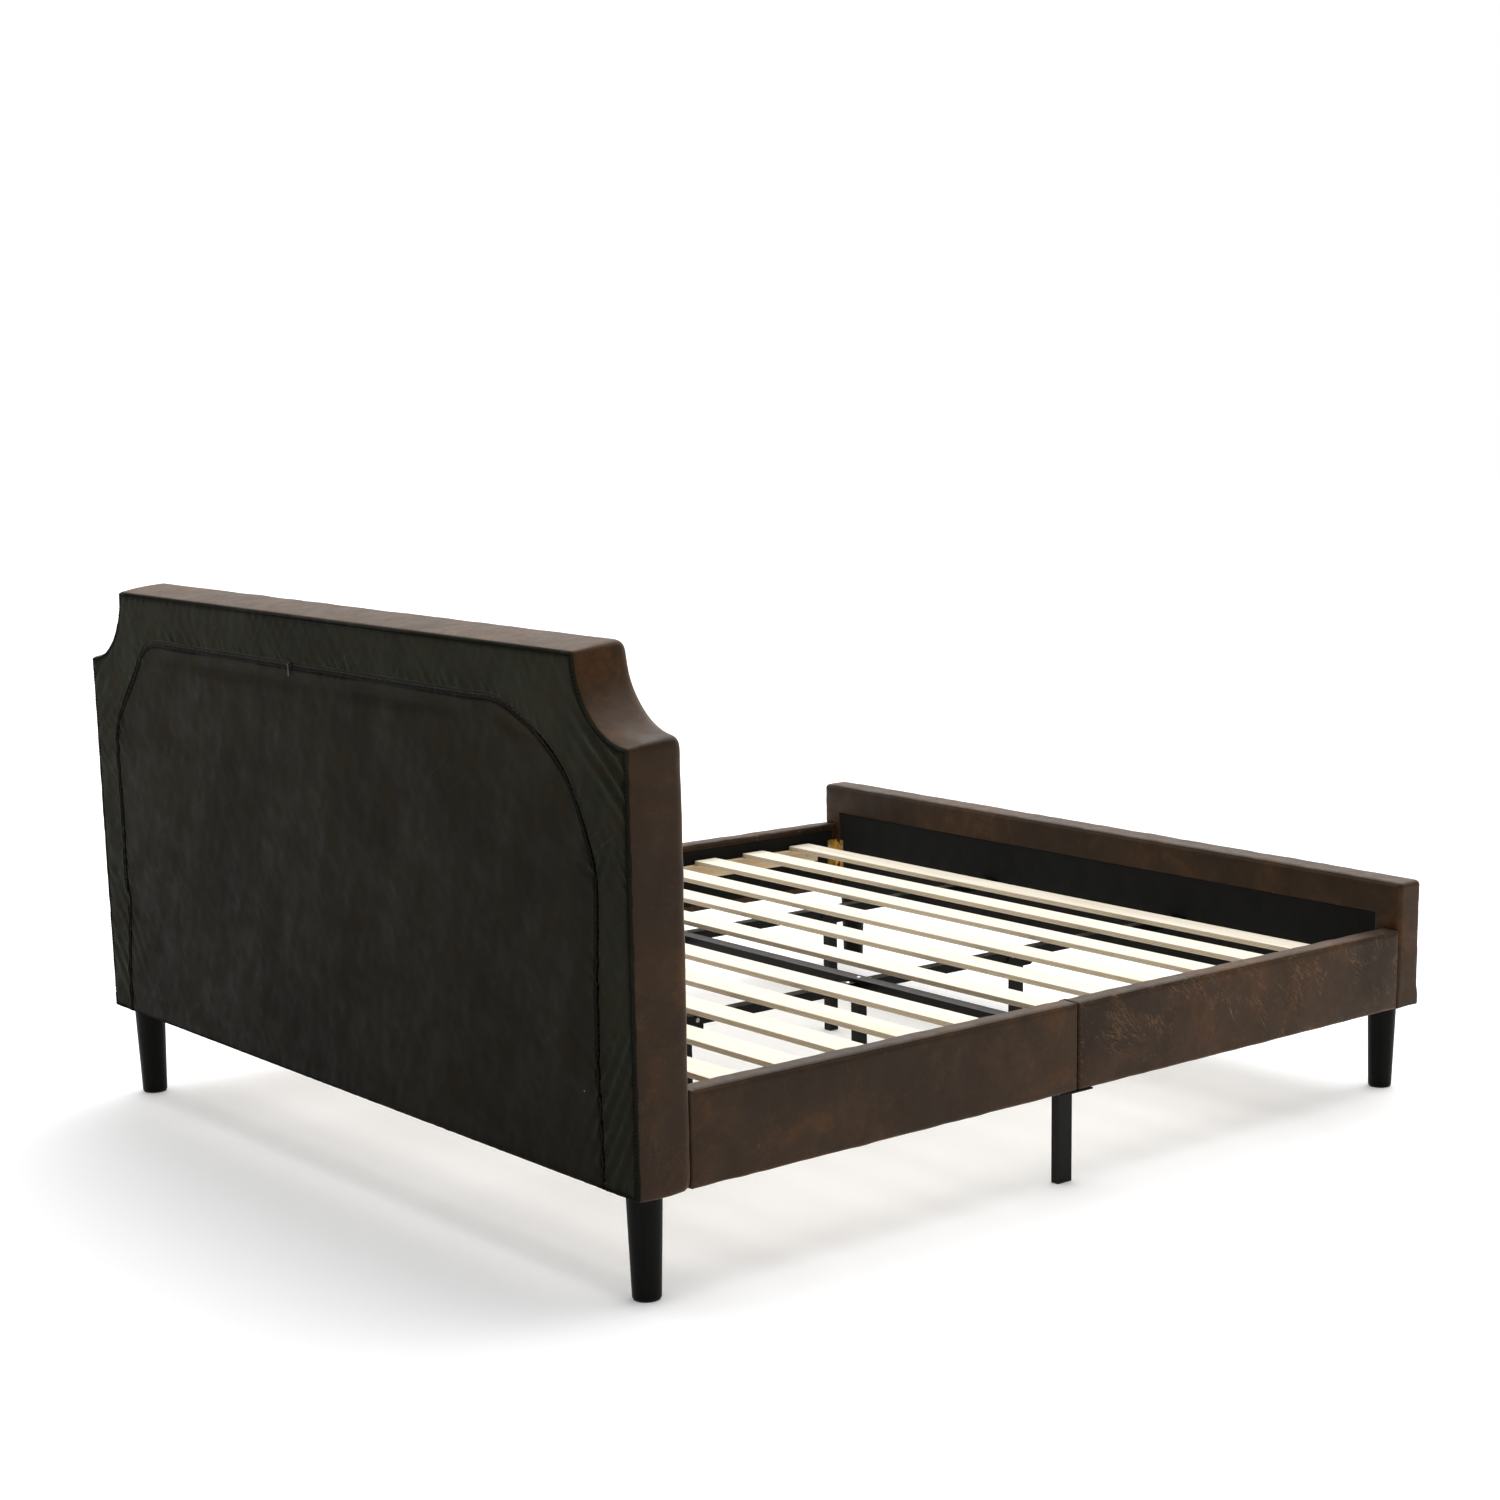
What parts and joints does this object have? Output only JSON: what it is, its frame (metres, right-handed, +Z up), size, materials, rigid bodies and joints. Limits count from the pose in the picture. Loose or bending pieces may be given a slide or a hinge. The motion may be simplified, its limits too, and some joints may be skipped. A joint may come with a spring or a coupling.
{
  "type": "upholstered platform bed",
  "caption": "King-size faux-leather platform bed with a scooped-corner headboard zipped at the back, a low footboard, slats on a steel centre frame, and tapered legs.",
  "frame": {"origin": "on the floor, at the middle of the whole bed's plan", "axes": "+X across the width, +Y from the footboard towards the headboard, +Z up"},
  "size_m": [2.09, 2.25, 1.195],
  "materials": {
    "leatherette": "satin",
    "back_cloth": "matte",
    "black_lining": "matte",
    "foam": "matte",
    "plywood": "matte",
    "pine": "matte",
    "slat_wood": "matte",
    "black_lacquered_wood": "satin",
    "black_plastic": "matte",
    "yellow_zinc": "satin",
    "bright_steel": "satin",
    "zip_coil": "matte",
    "zip_metal": "satin",
    "black_steel": "satin"
  },
  "bodies": {
    "bed_frame": {"bracket_screws": "bright_steel", "center_leg_brackets": "black_steel", "center_legs": "black_steel", "corner_brackets": "yellow_zinc", "corner_leg_foot_left": "black_lacquered_wood", "corner_leg_foot_right": "black_lacquered_wood", "corner_leg_head_left": "black_lacquered_wood", "corner_leg_head_right": "black_lacquered_wood", "crossbar": "black_steel", "footboard_bottom_rail": "pine", "footboard_cover": "leatherette", "footboard_foam": "foam", "footboard_lining": "black_lining", "footboard_outer_panel": "plywood", "footboard_posts": "pine", "footboard_top_rail": "pine", "headboard_back_border": "back_cloth", "headboard_bottom_rail": "pine", "headboard_cover": "leatherette", "headboard_foam": "foam", "headboard_front_panel": "plywood", "headboard_posts": "pine", "headboard_scoop_blocks": "pine", "headboard_stiffeners": "pine", "headboard_top_rail": "pine", "headboard_zip_panel": "back_cloth", "left_rail_foot_board": "pine", "left_rail_foot_cover": "leatherette", "left_rail_head_board": "pine", "left_rail_head_cover": "leatherette", "leg_bolts": "bright_steel", "leg_glides": "black_plastic", "leg_nuts": "bright_steel", "long_bar_end_brackets": "black_steel", "long_bars_foot": "black_steel", "long_bars_head": "black_steel", "rail_foam_pads": "foam", "rail_linings": "black_lining", "rail_splice_plates": "black_steel", "right_rail_foot_board": "pine", "right_rail_foot_cover": "leatherette", "right_rail_head_board": "pine", "right_rail_head_cover": "leatherette", "side_legs": "black_steel", "slat_01": "slat_wood", "slat_02": "slat_wood", "slat_03": "slat_wood", "slat_04": "slat_wood", "slat_05": "slat_wood", "slat_06": "slat_wood", "slat_07": "slat_wood", "slat_08": "slat_wood", "slat_09": "slat_wood", "slat_10": "slat_wood", "slat_11": "slat_wood", "slat_12": "slat_wood", "slat_ledges": "pine", "zip_chain": "zip_coil"},
    "zip_slider_body": {"zip_slider": "zip_metal"},
    "zip_pull_body": {"zip_pull": "zip_metal"}
  },
  "joints": [
    {"name": "zip_slider_travel", "type": "slide", "parent": "bed_frame", "child": "zip_slider_body", "axis": [1, 0, 0], "range_m": [-0.758, 0.591]},
    {"name": "zip_pull_swing", "type": "hinge", "parent": "zip_slider_body", "child": "zip_pull_body", "pos_m": [0.126, 1.1228, 1.0817], "axis": [1, 0, 0], "range_deg": [-8, 165]}
  ]
}
